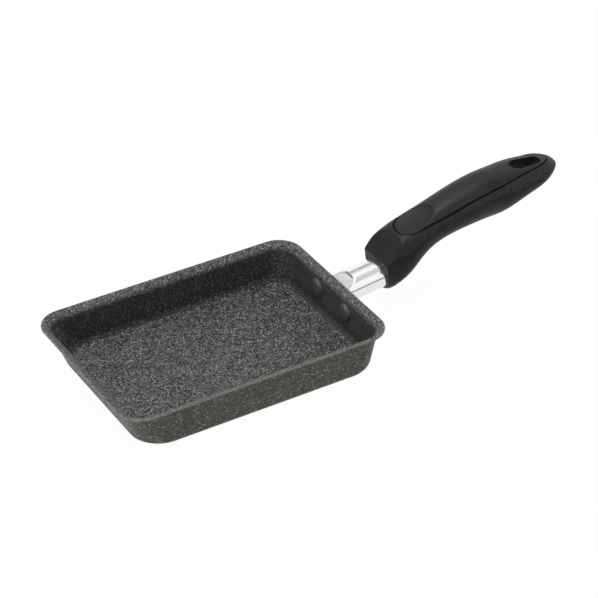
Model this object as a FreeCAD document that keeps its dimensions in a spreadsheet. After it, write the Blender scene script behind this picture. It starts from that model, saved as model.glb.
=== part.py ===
"""Rectangular rolled-omelette pan: a pressed aluminium pan with a flared lip, a riveted bracket,
a polished flame guard and a moulded grip with a top inlay, each piece a separate solid.

Frame: millimetres, +X from the pan to the grip's tail, +Z up, origin at the middle of the pan
(halfway along the lip) on the surface that the pan stands on.
"""
import FreeCAD
import Part
import Sketcher
import math
import os

Vector = FreeCAD.Vector

# Driving dimensions: name, value in millimetres (drafts are plain ratios, angles are degrees), meaning
PAN_SIZES = (
    ("lip_length", 194.0, "outer length of the lip, along the handle"),
    ("lip_width", 135.0, "outer width of the lip"),
    ("lip_corner", 17.5, "corner radius of the lip seen from above"),
    ("pan_height", 31.0, "height of the lip's outer edge"),
    ("lip_flare", 6.2, "how far the lip reaches outside the opening"),
    ("lip_rise", 3.5, "how much the lip climbs towards its outer edge"),
    ("lip_thickness", 2.0, "height of the lip's outer edge face"),
    ("lip_land", 0.7, "flat on top of the lip's outer edge"),
    ("lip_edge_round", 0.5, "rounding of the lip's outer edge"),
    ("lip_blend", 2.2, "bend radius where the wall turns into the lip"),
    ("pan_wall", 1.6, "wall thickness of the pressed sheet"),
    ("pan_floor", 2.5, "floor thickness of the pressed sheet"),
    ("side_draft", 0.01, "inward slope of the long walls"),
    ("front_draft", 0.35, "inward slope of the wall away from the handle"),
    ("rear_draft", 0.075, "inward slope of the wall that carries the handle"),
    ("base_round", 5.0, "outer radius between base and walls"),
    ("floor_round", 5.2, "inner radius between floor and walls"),
    ("floor_corner", 20.0, "corner radius of the floor seen from above"),
)
RIVET_SIZES = (
    ("rivet_pitch", 35.0, "distance between the two rivets"),
    ("rivet_height", 18.4, "height of the rivets at the inner wall"),
    ("rivet_head", 13.0, "diameter of the domed head inside the pan"),
    ("rivet_dome", 2.6, "height of the domed head"),
    ("rivet_rim", 0.5, "upright edge of the domed head"),
    ("rivet_shank", 6.0, "diameter of the shank"),
    ("rivet_tail", 10.0, "diameter of the closing head on the bracket"),
    ("rivet_tail_height", 1.6, "height of the closing head"),
    ("rivet_gap", 0.05, "radial gap round the shank"),
)
NECK_SIZES = (
    ("pad_width", 54.0, "width of the bracket's riveting pad"),
    ("pad_above", 6.0, "reach of the riveting pad above the rivets"),
    ("pad_below", 9.5, "reach of the riveting pad below the rivets"),
    ("pad_thickness", 3.0, "thickness of the riveting pad"),
    ("pad_corner", 6.0, "corner radius of the riveting pad"),
    ("neck_length", 29.5, "distance from the lip's edge to the grip's mouth"),
    ("neck_drop", 3.0, "how far the neck's axis lies below the lip at the mouth"),
    ("neck_angle", 7.0, "climb of the neck's axis"),
    ("guard_width", 22.8, "outer width of the oval flame guard"),
    ("guard_height", 16.9, "outer height of the oval flame guard"),
    ("guard_flat", 0.8, "half height of the flame guard's flat flanks"),
    ("guard_wall", 0.6, "sheet thickness of the flame guard"),
    ("guard_gap", 0.1, "gap between the flame guard and what it fits"),
    ("guard_insert", 7.0, "how far the neck enters the grip"),
    ("guard_end_gap", 0.3, "space behind the flame guard's end in the grip"),
    ("lip_clearance", 0.5, "space between the lip and the neck's pieces"),
    ("guard_slant", 31.0, "slant of the flame guard's upper end, from the level"),
    ("guard_shelf", 2.1, "depth of the slant's foot below the lip's edge"),
    ("guard_cut", 7.6, "length of the slant, up to the step at its upper end"),
    ("core_slant", 28.0, "slant of the bracket's end inside the flame guard, from the level"),
    ("core_recess", 0.1, "how far the bracket's slant starts below the flame guard's"),
)
SCREW_SIZES = (
    ("screw_diameter", 5.0, "outer diameter of the handle screw"),
    ("screw_length", 24.0, "length of the screw under its head"),
    ("screw_head", 9.5, "diameter of the screw's head"),
    ("screw_head_height", 3.4, "height of the screw's head"),
    ("screw_head_round", 0.9, "rounding of the screw's head"),
    ("screw_slot_width", 1.2, "width of the cross recess's arms"),
    ("screw_slot_length", 5.2, "length of the cross recess's arms"),
    ("screw_slot_depth", 1.8, "depth of the cross recess"),
    ("screw_gap", 0.05, "radial gap of the screw in the bracket"),
    ("screw_end_gap", 1.2, "space past the screw's end in the bracket"),
    ("screw_web", 8.0, "grip material between the bracket's end and the washers"),
    ("screw_way_gap", 0.3, "radial gap of the screw in the grip"),
    ("washer_diameter", 10.0, "outer diameter of the flat washer"),
    ("washer_thickness", 1.0, "thickness of the flat washer"),
    ("spring_diameter", 9.0, "outer diameter of the spring washer"),
    ("spring_thickness", 1.3, "thickness of the spring washer"),
    ("spring_split", 0.8, "width of the spring washer's split"),
    ("washer_gap", 0.15, "radial gap of the washers on the screw"),
    ("counterbore", 11.0, "diameter of the screw's access hole"),
    ("counterbore_reach", 26.0, "length of the screw's access hole"),
)
GRIP_SIZES = (
    ("keel_power", 2.25, "fullness of the grip's lower sections, 2 is an ellipse"),
    ("facet_height", 13.5, "height of the collar's slanted facet at the mouth, above its middle"),
    ("facet_angle", 45.5, "slope of the collar's facet"),
    ("cap_length", 22.3, "length of the grip's rounded tail"),
    ("cap_height", 43.8, "height of the tail's tip above the mouth's middle"),
    ("inlay_depth", 3.0, "thickness of the top inlay"),
    ("inlay_seam", 0.6, "width of the groove round the inlay"),
    ("inlay_bed", 0.1, "space under the inlay"),
    ("thumb_length", 31.0, "length of the thumb rest"),
    ("thumb_width", 21.0, "width of the thumb rest"),
    ("thumb_depth", 1.7, "depth of the thumb rest"),
    ("slot_start", 105.5, "distance from the mouth to the hanging slot"),
    ("slot_length", 24.0, "length of the hanging slot"),
    ("slot_front", 12.2, "width of the hanging slot at its front end"),
    ("slot_rear", 9.6, "width of the hanging slot at its rear end"),
    ("hollow_start", 38.5, "distance from the mouth to the hollow under the inlay"),
    ("hollow_length", 56.0, "length of the hollow under the inlay"),
    ("hollow_wall", 3.6, "wall of the grip round the hollow"),
    ("hollow_ledge", 2.0, "width of the ledge that carries the inlay"),
)
# Cross-sections of the grip: name, step from the last one, crest and keel above the mouth's middle,
# half width, fullness of the upper half (2 is an ellipse)
GRIP_SECTIONS = (
    ("mouth", 0.0, 20.6, -10.4, 14.2, 3.4),
    ("shoulder", 11.0, 25.6, -7.9, 17.8, 3.4),
    ("bulge", 5.5, 28.2, -4.2, 18.0, 3.2),
    ("nape", 6.0, 30.7, 1.2, 17.3, 3.1),
    ("throat", 6.0, 32.9, 6.9, 16.4, 3.0),
    ("waist", 15.0, 38.9, 14.1, 15.0, 2.7),
    ("palm", 20.0, 45.0, 18.2, 16.0, 2.6),
    ("heel", 20.0, 49.4, 19.4, 16.1, 2.6),
    ("brow", 20.0, 49.9, 24.2, 16.8, 2.6),
    ("crown", 8.0, 49.8, 27.6, 16.5, 2.5),
    ("tail", 8.0, 49.3, 30.4, 15.7, 2.35),
)
# Outline of the inlay seen from above: name, step from the last point, half width
INLAY_POINTS = (
    ("nose", 14.9, 0.0),
    ("lip", 0.7, 4.4),
    ("cheek", 2.3, 8.3),
    ("jaw", 3.7, 10.5),
    ("thumb", 6.4, 11.6),
    ("waist", 17.0, 12.7),
    ("middle", 25.0, 13.5),
    ("rear", 22.0, 13.0),
    ("brow", 16.0, 11.3),
    ("eye", 13.0, 8.8),
    ("end", 9.5, 5.6),
    ("tip", 4.8, 0.0),
)

# Shares of the tail's length at which it has sections, and how round its sides and underside close
TAIL_STEPS = (0.4, 0.66, 0.84, 0.94)
TAIL_ROUND = 1.8
KEEL_ROUND = 1.25
# Points round a section, and slopes of the rivets' domes
SECTION_POINTS = 28
DOME_ANGLES = (0, 22, 45, 68)
# Fullness and crosswise spread of the thumb rest's scoop
THUMB_FULLNESS = 1.3
THUMB_SPREAD = 1.6

doc = FreeCAD.newDocument("omelette_pan")
sheet = doc.addObject("Spreadsheet::Sheet", "Dims")


def fill_sheet():
    """Writes every driving dimension into the sheet, one row each, with its alias."""
    rows = list(PAN_SIZES + RIVET_SIZES + NECK_SIZES + SCREW_SIZES + GRIP_SIZES)
    for name, step, crest, keel, half, fullness in GRIP_SECTIONS:
        rows.append((name + "_step", step, "distance of the section from the one before"))
        rows.append((name + "_crest", crest, "height of the section's top"))
        rows.append((name + "_keel", keel, "height of the section's underside"))
        rows.append((name + "_half", half, "half width of the section"))
        rows.append((name + "_power", fullness, "fullness of the section's upper half"))
    for name, step, half in INLAY_POINTS:
        rows.append(("inlay_" + name + "_step", step, "distance of the outline's point from the last"))
        rows.append(("inlay_" + name + "_half", half, "half width of the outline at the point"))
    for row, (alias, value, note) in enumerate(rows, start=1):
        sheet.set("A%d" % row, alias)
        sheet.set("B%d" % row, str(value))
        sheet.set("C%d" % row, note)
        sheet.setAlias("B%d" % row, alias)
    doc.recompute()


def size(alias):
    """A driving dimension's value."""
    return float(sheet.get(alias))


fill_sheet()

# Derived places, as expressions on the sheet
OPEN_Z = "(Dims.pan_height - Dims.lip_rise)"
OPEN_X = "(Dims.lip_length / 2 - Dims.lip_flare)"
OPEN_Y = "(Dims.lip_width / 2 - Dims.lip_flare)"
OPEN_CORNER = "(Dims.lip_corner - Dims.lip_flare)"
ROOT_Z = ("(Dims.pan_height - Dims.lip_thickness"
          " - (Dims.lip_flare - Dims.pan_wall) * Dims.lip_rise / Dims.lip_flare)")
MOUTH_X = "(Dims.lip_length / 2 + Dims.neck_length)"
MOUTH_Z = "(Dims.pan_height - Dims.neck_drop)"
WALL_ANGLE = "atan(Dims.rear_draft)"
WALL_FACE = "(Dims.pan_wall * cos(" + WALL_ANGLE + "))"
RIVET_X = "(" + OPEN_X + " - Dims.rear_draft * (" + OPEN_Z + " - Dims.rivet_height))"
NECK_EDGE = "(Dims.lip_length / 2 + Dims.lip_clearance)"
NECK_START = "-(Dims.neck_length + 2 * Dims.lip_flare)"
SHELF_Z = "(Dims.pan_height - Dims.guard_shelf)"
RIVET_PLACES = (("left", "Dims.rivet_pitch / 2"), ("right", "-Dims.rivet_pitch / 2"))
SEAT = "(Dims.guard_insert + Dims.screw_web)"
SCREW_FACE = "(" + SEAT + " + Dims.washer_thickness + Dims.spring_thickness)"


def origin_plane(body, role):
    """One of a body's own origin planes."""
    return next(item for item in body.Origin.OriginFeatures if item.Role == role)


def new_body(name):
    return doc.addObject("PartDesign::Body", name)


def new_sketch(body, name, role, offset):
    """A sketch on an origin plane of its body, moved along the plane's normal by an expression."""
    sketch = body.newObject("Sketcher::SketchObject", name)
    sketch.AttachmentSupport = [(origin_plane(body, role), "")]
    sketch.MapMode = "FlatFace"
    sketch.setExpression("AttachmentOffset.Base.z", offset)
    return sketch


def bind(sketch, index, name, expression):
    """Names a constraint and ties it to an expression."""
    sketch.renameConstraint(index, name)
    sketch.setExpression("Constraints." + name, expression)


def rounded_rectangle(sketch, left, right, low, high, corner):
    """Draws a rectangle with four equal round corners; every place is an expression."""
    x0, x1, y0, y1, r = (float(sketch.evalExpression(item)) for item in (left, right, low, high, corner))
    centres = ((x1 - r, y0 + r), (x1 - r, y1 - r), (x0 + r, y1 - r), (x0 + r, y0 + r))
    sides = (((x0 + r, y0), (x1 - r, y0)), ((x1, y0 + r), (x1, y1 - r)),
             ((x1 - r, y1), (x0 + r, y1)), ((x0, y1 - r), (x0, y0 + r)))
    for side, (start, end) in enumerate(sides):
        sketch.addGeometry(Part.LineSegment(Vector(*start, 0), Vector(*end, 0)))
        middle = Vector(*centres[side], 0)
        turn = side * math.pi / 2
        arc = Part.ArcOfCircle(Part.Circle(middle, Vector(0, 0, 1), r), turn - math.pi / 2, turn)
        sketch.addGeometry(arc)
    for side in range(4):
        line, arc, following = 2 * side, 2 * side + 1, (2 * side + 2) % 8
        sketch.addConstraint(Sketcher.Constraint("Tangent", line, 2, arc, 1))
        sketch.addConstraint(Sketcher.Constraint("Tangent", arc, 2, following, 1))
        direction = "Horizontal" if side % 2 == 0 else "Vertical"
        sketch.addConstraint(Sketcher.Constraint(direction, line))
    for side in range(1, 4):
        sketch.addConstraint(Sketcher.Constraint("Equal", 1, 2 * side + 1))
    bind(sketch, sketch.addConstraint(Sketcher.Constraint("Radius", 1, r)), "corner", corner)
    bind(sketch, sketch.addConstraint(Sketcher.Constraint("DistanceY", -1, 1, 0, 1, y0)), "low", low)
    bind(sketch, sketch.addConstraint(Sketcher.Constraint("DistanceX", -1, 1, 2, 1, x1)), "right", right)
    bind(sketch, sketch.addConstraint(Sketcher.Constraint("DistanceY", -1, 1, 4, 1, y1)), "high", high)
    bind(sketch, sketch.addConstraint(Sketcher.Constraint("DistanceX", -1, 1, 6, 1, x0)), "left", left)


def polygon(sketch, points):
    """Draws a closed outline of straight lines; each point is a pair of expressions."""
    places = [tuple(float(sketch.evalExpression(item)) for item in point) for point in points]
    count = len(places)
    for index in range(count):
        start, end = places[index], places[(index + 1) % count]
        sketch.addGeometry(Part.LineSegment(Vector(*start, 0), Vector(*end, 0)))
    for index in range(count):
        sketch.addConstraint(Sketcher.Constraint("Coincident", index, 2, (index + 1) % count, 1))
        for kind, value, expression in zip(("DistanceX", "DistanceY"), places[index], points[index]):
            if expression == "0":
                axis = -2 if kind == "DistanceX" else -1
                sketch.addConstraint(Sketcher.Constraint("PointOnObject", index, 1, axis))
            else:
                place = sketch.addConstraint(Sketcher.Constraint(kind, -1, 1, index, 1, value))
                bind(sketch, place, "%s_%d" % (kind, index), expression)


def feature(body, kind, name, profile, **settings):
    """A feature of a body on a sketch."""
    item = body.newObject("PartDesign::" + kind, name)
    item.Profile = profile
    for key, value in settings.items():
        setattr(item, key, value)
    doc.recompute()
    return item


def ruled_loft(body, kind, name, sketches):
    return feature(body, kind, name, sketches[0], Sections=sketches[1:], Ruled=True, Closed=False)


def level_edges(shape, height):
    """Names of the edges that lie at one height."""
    names = []
    for index, edge in enumerate(shape.Edges, start=1):
        if all(abs(vertex.Z - height) < 1e-4 for vertex in edge.Vertexes):
            names.append("Edge%d" % index)
    return names


def round_level(body, name, base, height, radius):
    """Rounds every edge of a feature that lies at one height."""
    item = body.newObject("PartDesign::Fillet", name)
    item.Base = (base, level_edges(base.Shape, height))
    item.setExpression("Radius", radius)
    doc.recompute()
    return item


def set_frame(item, along, height, angle, upward):
    """Places an object in the middle plane, with its first axis turned up or down by an angle."""
    axis = Vector(0, -1 if upward else 1, 0)
    item.Placement = FreeCAD.Placement(Vector(0, 0, 0), FreeCAD.Rotation(axis, 1.0))
    item.setExpression("Placement.Base.x", along)
    item.setExpression("Placement.Base.z", height)
    item.setExpression("Placement.Rotation.Angle", angle)


def set_neck_frame(item):
    """Places an object on the neck's axis, with its origin in the grip's mouth."""
    set_frame(item, MOUTH_X, MOUTH_Z, "Dims.neck_angle", True)


def set_wall_frame(item):
    """Places an object square to the rear wall, with its origin on the inner face at the rivets."""
    set_frame(item, RIVET_X, "Dims.rivet_height", WALL_ANGLE, False)


def combine(kind, name, base, tools):
    """Cuts tools from a base, or keeps what a base and a tool share, one after the other."""
    for count, tool in enumerate(tools, start=1):
        item = doc.addObject(kind, "%s_%d" % (name, count))
        item.Base = base
        item.Tool = tool
        base = item
    doc.recompute()
    return base


def prism(name, points, width):
    """A block across the middle plane with the given outline seen from the side."""
    body = new_body(name)
    sketch = new_sketch(body, name + "_outline", "XZ_Plane", "0")
    polygon(sketch, points)
    doc.recompute()
    pad = feature(body, "Pad", name + "_block", sketch, Midplane=True)
    pad.setExpression("Length", width)
    doc.recompute()
    return body


def turned(name, points):
    """A round piece turned about its first axis from half its outline."""
    body = new_body(name)
    sketch = new_sketch(body, name + "_profile", "XZ_Plane", "0")
    polygon(sketch, points)
    doc.recompute()
    feature(body, "Revolution", name + "_turning", sketch, ReferenceAxis=(sketch, ["H_Axis"]), Angle=360.0)
    return body


def drafted(reach, draft, height):
    """Distance of an inner wall from the middle at a height below the opening."""
    return "(%s - Dims.%s * (%s - %s))" % (reach, draft, OPEN_Z, height)


def pan_outline(body, name, height, growth, corner):
    """The pan's outline at a height, a given growth outside its inner faces."""
    sketch = new_sketch(body, name, "XY_Plane", height)
    front = drafted(OPEN_X, "front_draft", height)
    rear = drafted(OPEN_X, "rear_draft", height)
    side = drafted(OPEN_Y, "side_draft", height)
    rounded_rectangle(sketch, "-(%s + %s)" % (front, growth), "%s + %s" % (rear, growth),
                      "-(%s + %s)" % (side, growth), "%s + %s" % (side, growth), corner)
    return sketch


def lip_outline(body, name, height, inset):
    """The outline of the lip's outer edge, drawn in by an inset."""
    sketch = new_sketch(body, name, "XY_Plane", height)
    half_length = "(Dims.lip_length / 2 - %s)" % inset
    half_width = "(Dims.lip_width / 2 - %s)" % inset
    rounded_rectangle(sketch, "-" + half_length, half_length, "-" + half_width, half_width,
                      "Dims.lip_corner - " + inset)
    return sketch


def make_pan_body():
    """The pressed sheet pan: floor, four walls and the flared lip, with two rivet holes."""
    body = new_body("pan_shell")
    wall = "Dims.pan_wall"
    lip_low_z = "Dims.pan_height - Dims.lip_thickness"
    base = pan_outline(body, "base_outline", "0", wall, "Dims.floor_corner + " + wall)
    root = pan_outline(body, "root_outline", ROOT_Z, wall, OPEN_CORNER + " + " + wall)
    lip_low = lip_outline(body, "lip_low_outline", lip_low_z, "0")
    floor = pan_outline(body, "floor_outline", "Dims.pan_floor", "0", "Dims.floor_corner")
    opening = pan_outline(body, "opening_outline", OPEN_Z, "0", OPEN_CORNER)
    lip_top = lip_outline(body, "lip_top_outline", "Dims.pan_height", "Dims.lip_land")
    doc.recompute()
    ruled_loft(body, "AdditiveLoft", "outer_walls", [base, root])
    ruled_loft(body, "AdditiveLoft", "lip_underside", [root, lip_low])
    edge = feature(body, "Pad", "lip_edge", lip_low)
    edge.setExpression("Length", "Dims.lip_thickness")
    doc.recompute()
    ruled_loft(body, "SubtractiveLoft", "cavity", [floor, opening])
    shell = ruled_loft(body, "SubtractiveLoft", "lip_slope", [opening, lip_top])
    top_round = "min(Dims.lip_edge_round; Dims.lip_land * 0.45)"
    for name, height, radius in (("base_rounding", "0", "Dims.base_round"),
                                 ("floor_rounding", "Dims.pan_floor", "Dims.floor_round"),
                                 ("lip_bend_inside", OPEN_Z, "Dims.lip_blend"),
                                 ("lip_bend_outside", ROOT_Z, "Dims.lip_blend"),
                                 ("lip_top_rounding", "Dims.pan_height", top_round),
                                 ("lip_low_rounding", lip_low_z, "Dims.lip_edge_round")):
        shell = round_level(body, name, shell, float(body.evalExpression(height)), radius)
    holes = [make_wall_rod("rivet_hole_" + name, across) for name, across in RIVET_PLACES]
    return combine("Part::Cut", "pan_drilled", body, holes)


def make_wall_rod(name, across):
    """A rod through the rear wall and the pad at a rivet's place, which leaves its hole."""
    radius = "(Dims.rivet_shank / 2 + Dims.rivet_gap)"
    reach = "(2 * (Dims.pan_wall + Dims.pad_thickness))"
    rod = turned(name, [("-" + reach, "0"), ("-" + reach, radius), (reach, radius), (reach, "0")])
    set_wall_frame(rod)
    rod.setExpression("Placement.Base.y", across)
    doc.recompute()
    return rod


def make_rivet(name, across):
    """A domed rivet: head inside the pan, shank through wall and pad, closing head outside."""
    head, shank, tail = "Dims.rivet_head / 2", "Dims.rivet_shank / 2", "Dims.rivet_tail / 2"
    outer = "(%s + Dims.pad_thickness)" % WALL_FACE
    end = outer + " + Dims.rivet_tail_height"
    crown = "(Dims.rivet_dome - Dims.rivet_rim)"
    dome = [("-Dims.rivet_rim - %s * cos(%d)" % (crown, angle), "%s * sin(%d)" % (head, angle))
            for angle in DOME_ANGLES]
    dome[0] = ("-Dims.rivet_dome", "0")
    rivet = turned(name, dome + [("-Dims.rivet_rim", head), ("0", head), ("0", shank), (outer, shank),
                                 (outer, tail), (end, tail + " - Dims.rivet_tail_height / 2"), (end, "0")])
    set_wall_frame(rivet)
    rivet.setExpression("Placement.Base.y", across)
    doc.recompute()
    return rivet


def make_pan_rivets():
    """Both rivets, as one group of separate pieces."""
    group = doc.addObject("Part::Compound", "rivet_pair")
    group.Links = [make_rivet("rivet_" + name, across) for name, across in RIVET_PLACES]
    doc.recompute()
    return group


def neck_bar(name, inset, start, end):
    """A bar of the flame guard's oval section, drawn in by an inset, along the neck's axis."""
    body = new_body(name)
    sketch = new_sketch(body, name + "_section", "YZ_Plane", start)
    half_width = "(Dims.guard_width / 2 - %s)" % inset
    half_height = "(Dims.guard_height / 2 - %s)" % inset
    rounded_rectangle(sketch, "-" + half_width, half_width, "-" + half_height, half_height,
                      "%s - Dims.guard_flat" % half_height)
    doc.recompute()
    bar = feature(body, "Pad", name + "_bar", sketch)
    bar.setExpression("Length", "%s - (%s)" % (end, start))
    set_neck_frame(body)
    doc.recompute()
    return body


def slanted_space(name, foot_z, slant, reach, below):
    """The space over the lip: everything before the neck's edge and above a slant that reaches past it."""
    foot_x = NECK_EDGE
    top = "(%s + 4 * Dims.pan_height)" % foot_z
    back = "(Dims.lip_length / 4)"
    return prism(name, [(back, below), (foot_x, below), (foot_x, foot_z),
                        ("%s + %s" % (foot_x, reach), "%s + %s * tan(%s)" % (foot_z, reach, slant)),
                        ("%s + %s" % (foot_x, reach), top), (back, top)], "2 * Dims.guard_width")


def make_handle_bracket():
    """The bracket: a pad riveted to the rear wall and an oval neck that the screw draws into the grip."""
    pad = new_body("riveting_pad")
    sketch = new_sketch(pad, "pad_outline", "YZ_Plane", WALL_FACE)
    rounded_rectangle(sketch, "-Dims.pad_width / 2", "Dims.pad_width / 2",
                      "-Dims.pad_below", "Dims.pad_above", "Dims.pad_corner")
    doc.recompute()
    plate = feature(pad, "Pad", "pad_plate", sketch)
    plate.setExpression("Length", "Dims.pad_thickness")
    set_wall_frame(pad)
    neck = neck_bar("neck_core", "(Dims.guard_wall + Dims.guard_gap)", NECK_START, "Dims.guard_insert")
    over_lip = slanted_space("space_over_core", "(%s - Dims.core_recess)" % SHELF_Z, "Dims.core_slant",
                             "Dims.neck_length", "(%s - Dims.lip_clearance)" % ROOT_Z)
    inside = "(-Dims.lip_length / 4)"
    deep = "(2 * Dims.pan_height)"
    pan_side = prism("space_of_pan", [(inside, "-" + deep), (WALL_FACE, "-" + deep), (WALL_FACE, deep),
                                      (inside, deep)], "2 * Dims.guard_width")
    set_wall_frame(pan_side)
    doc.recompute()
    neck = combine("Part::Cut", "neck_trimmed", neck, [over_lip, pan_side])
    whole = doc.addObject("Part::MultiFuse", "bracket_whole")
    whole.Shapes = [pad, neck]
    whole.Refine = True
    tip = "(%s - Dims.screw_length - Dims.screw_end_gap)" % SCREW_FACE
    radius = "(Dims.screw_diameter / 2 + Dims.screw_gap)"
    beyond = "(Dims.guard_insert + Dims.screw_web)"
    tapping = turned("screw_hole", [(tip, "0"), (tip, radius), (beyond, radius), (beyond, "0")])
    set_neck_frame(tapping)
    holes = [make_wall_rod("pad_hole_" + name, across) for name, across in RIVET_PLACES]
    return combine("Part::Cut", "bracket_drilled", whole, [tapping] + holes)


def make_flame_guard():
    """The polished sheet sleeve round the neck, slanted at its pan end to pass the lip."""
    end = "(Dims.guard_insert - Dims.guard_end_gap)"
    outer = neck_bar("guard_outside", "0", NECK_START, end)
    inner = neck_bar("guard_inside", "Dims.guard_wall", "2 * " + NECK_START, "2 * " + end)
    over_lip = slanted_space("space_over_guard", SHELF_Z, "Dims.guard_slant", "Dims.guard_cut",
                             "(-Dims.pan_height)")
    return combine("Part::Cut", "guard_trimmed", outer, [inner, over_lip])


def make_handle_screw():
    """The pan-head screw with a cross recess that holds the grip on the neck."""
    radius, head = "Dims.screw_diameter / 2", "Dims.screw_head / 2"
    tip = "(%s - Dims.screw_length)" % SCREW_FACE
    top = "(%s + Dims.screw_head_height)" % SCREW_FACE
    point = "Dims.screw_diameter / 8"
    screw = turned("screw_blank", [(tip, "0"), (tip, radius + " - " + point), (tip + " + " + point, radius),
                                   (SCREW_FACE, radius), (SCREW_FACE, head),
                                   (top + " - Dims.screw_head_round", head),
                                   (top, head + " - Dims.screw_head_round"), (top, "0")])
    for name, wide, tall in (("level", "Dims.screw_slot_length / 2", "Dims.screw_slot_width / 2"),
                             ("upright", "Dims.screw_slot_width / 2", "Dims.screw_slot_length / 2")):
        sketch = new_sketch(screw, "recess_" + name, "YZ_Plane", top)
        polygon(sketch, [("-" + wide, "-" + tall), (wide, "-" + tall), (wide, tall), ("-" + wide, tall)])
        doc.recompute()
        pocket = feature(screw, "Pocket", "recess_arm_" + name, sketch)
        pocket.setExpression("Length", "Dims.screw_slot_depth")
    set_neck_frame(screw)
    doc.recompute()
    return screw


def make_washer(name, start, thickness, diameter):
    """A flat ring on the screw."""
    inner = "(Dims.screw_diameter / 2 + Dims.washer_gap)"
    end = "(%s + %s)" % (start, thickness)
    outer = diameter + " / 2"
    ring = turned(name, [(start, inner), (end, inner), (end, outer), (start, outer)])
    set_neck_frame(ring)
    doc.recompute()
    return ring


def make_screw_washer():
    return make_washer("washer_ring", SEAT, "Dims.washer_thickness", "Dims.washer_diameter")


def make_spring_washer():
    """The split ring between the flat washer and the screw's head."""
    start = "(%s + Dims.washer_thickness)" % SEAT
    ring = make_washer("spring_ring", start, "Dims.spring_thickness", "Dims.spring_diameter")
    end = "2 * " + start
    split = prism("spring_gap", [("0", "0"), (end, "0"), (end, "Dims.spring_diameter"),
                                 ("0", "Dims.spring_diameter")], "Dims.spring_split")
    set_neck_frame(split)
    doc.recompute()
    return combine("Part::Cut", "spring_split_ring", ring, [split])


def station(name):
    """A grip section's distance from the mouth, crest, keel, half width and fullness."""
    along = 0.0
    for label, *_ in GRIP_SECTIONS:
        along += size(label + "_step")
        if label == name:
            return [along] + [size(name + kind) for kind in ("_crest", "_keel", "_half", "_power")]
    raise ValueError(name)


def section_wire(along, crest, keel, half, fullness, lean=0.0):
    """A closed smooth section across the grip, boxier above than below; lean tips its top forward."""
    middle = (crest + keel) / 2
    points = []
    for index in range(SECTION_POINTS):
        angle = 2 * math.pi * index / SECTION_POINTS
        side, rise = math.cos(angle), math.sin(angle)
        power = 2 / (fullness if rise >= 0 else size("keel_power"))
        across = math.copysign(abs(side) ** power, side) * half
        height = middle + math.copysign(abs(rise) ** power, rise) * (crest - keel) / 2
        points.append(Vector(along - lean * height, across, height))
    curve = Part.BSplineCurve()
    curve.interpolate(points, PeriodicFlag=True)
    return Part.Wire([curve.toShape()])


def grip_blank():
    """The grip's outer form: a mouth square to the neck, a collar cut to a slanted facet, a round tail."""
    lean = math.tan(math.radians(size("neck_angle")))
    wires = [section_wire(*station("mouth"), lean=lean)]
    wires += [section_wire(*station(name)) for name, *_ in GRIP_SECTIONS[1:]]
    along, crest, keel, half, fullness = station("tail")
    tip = size("cap_height")
    for share in TAIL_STEPS:
        close = math.sqrt(1 - share ** TAIL_ROUND)
        lift = 1 - share ** KEEL_ROUND
        wires.append(section_wire(along + share * size("cap_length"), tip + (crest - tip) * close,
                                  tip + (keel - tip) * lift, half * close, 2 + (fullness - 2) * close))
    return Part.makeLoft(wires, True, False).cut(facet_block())


def facet_block():
    """Everything before and above the collar's slanted facet."""
    reach, height = grip_reach(), size("facet_height")
    climb = reach * math.tan(math.radians(size("facet_angle")))
    corners = [Vector(-reach, -reach, height - climb), Vector(reach, -reach, height + climb),
               Vector(-reach, -reach, height + climb)]
    return Part.Face(Part.makePolygon(corners + corners[:1])).extrude(Vector(0, 2 * reach, 0))


def hollow_blank():
    """The grip's form between throat and brow, drawn in by the hollow's wall."""
    wall = size("hollow_wall")
    wires = []
    for name in ("throat", "waist", "palm", "heel", "brow"):
        along, crest, keel, half, fullness = station(name)
        wires.append(section_wire(along, crest, keel + wall, half - wall, fullness))
    return Part.makeLoft(wires, True, False)


def plan_face(points):
    """A flat face inside a smooth closed outline through points that mirror about the middle."""
    upper = [Vector(along, half, 0) for along, half in points]
    lower = [Vector(along, -half, 0) for along, half in reversed(points[1:-1])]
    curve = Part.BSplineCurve()
    curve.interpolate(upper + lower, PeriodicFlag=True)
    return Part.Face(Part.Wire([curve.toShape()]))


def grip_reach():
    """A length that passes out of the grip above, below and at the sides."""
    return 2 * max(size(label + "_crest") for label, *_ in GRIP_SECTIONS)


def upright(face):
    """A tall upright prism on a flat face, through the whole grip."""
    reach = grip_reach()
    face.translate(Vector(0, 0, -reach))
    return face.extrude(Vector(0, 0, 2 * reach))


def inlay_prism(growth):
    """The inlay's outline seen from above, grown all round by a gap, as an upright prism."""
    outline = []
    along = 0.0
    for name, *_ in INLAY_POINTS:
        along += size("inlay_" + name + "_step")
        outline.append(Vector(along, size("inlay_" + name + "_half"), 0))
    nose, tip = outline[0], outline[-1]
    points = [(nose.x - growth, 0.0)]
    for before, here, after in zip(outline, outline[1:], outline[2:]):
        way = (after - before).normalize()
        points.append((here.x - way.y * growth, here.y + way.x * growth))
    points.append((tip.x + growth, 0.0))
    return upright(plan_face(points))


def slot_prism():
    """The hanging slot: two round ends of different width joined by tangent sides, upright."""
    front, rear = size("slot_front") / 2, size("slot_rear") / 2
    first = Vector(size("slot_start") + front, 0, 0)
    second = Vector(size("slot_start") + size("slot_length") - rear, 0, 0)
    lean = math.acos((front - rear) / (second.x - first.x))
    side = Vector(math.cos(lean), math.sin(lean), 0)
    mirror = Vector(side.x, -side.y, 0)
    edges = [Part.Arc(first + side * front, first - Vector(front, 0, 0), first + mirror * front).toShape(),
             Part.makeLine(first + mirror * front, second + mirror * rear),
             Part.Arc(second + mirror * rear, second + Vector(rear, 0, 0), second + side * rear).toShape(),
             Part.makeLine(second + side * rear, first + side * front)]
    return upright(Part.Face(Part.Wire(edges)))


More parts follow.
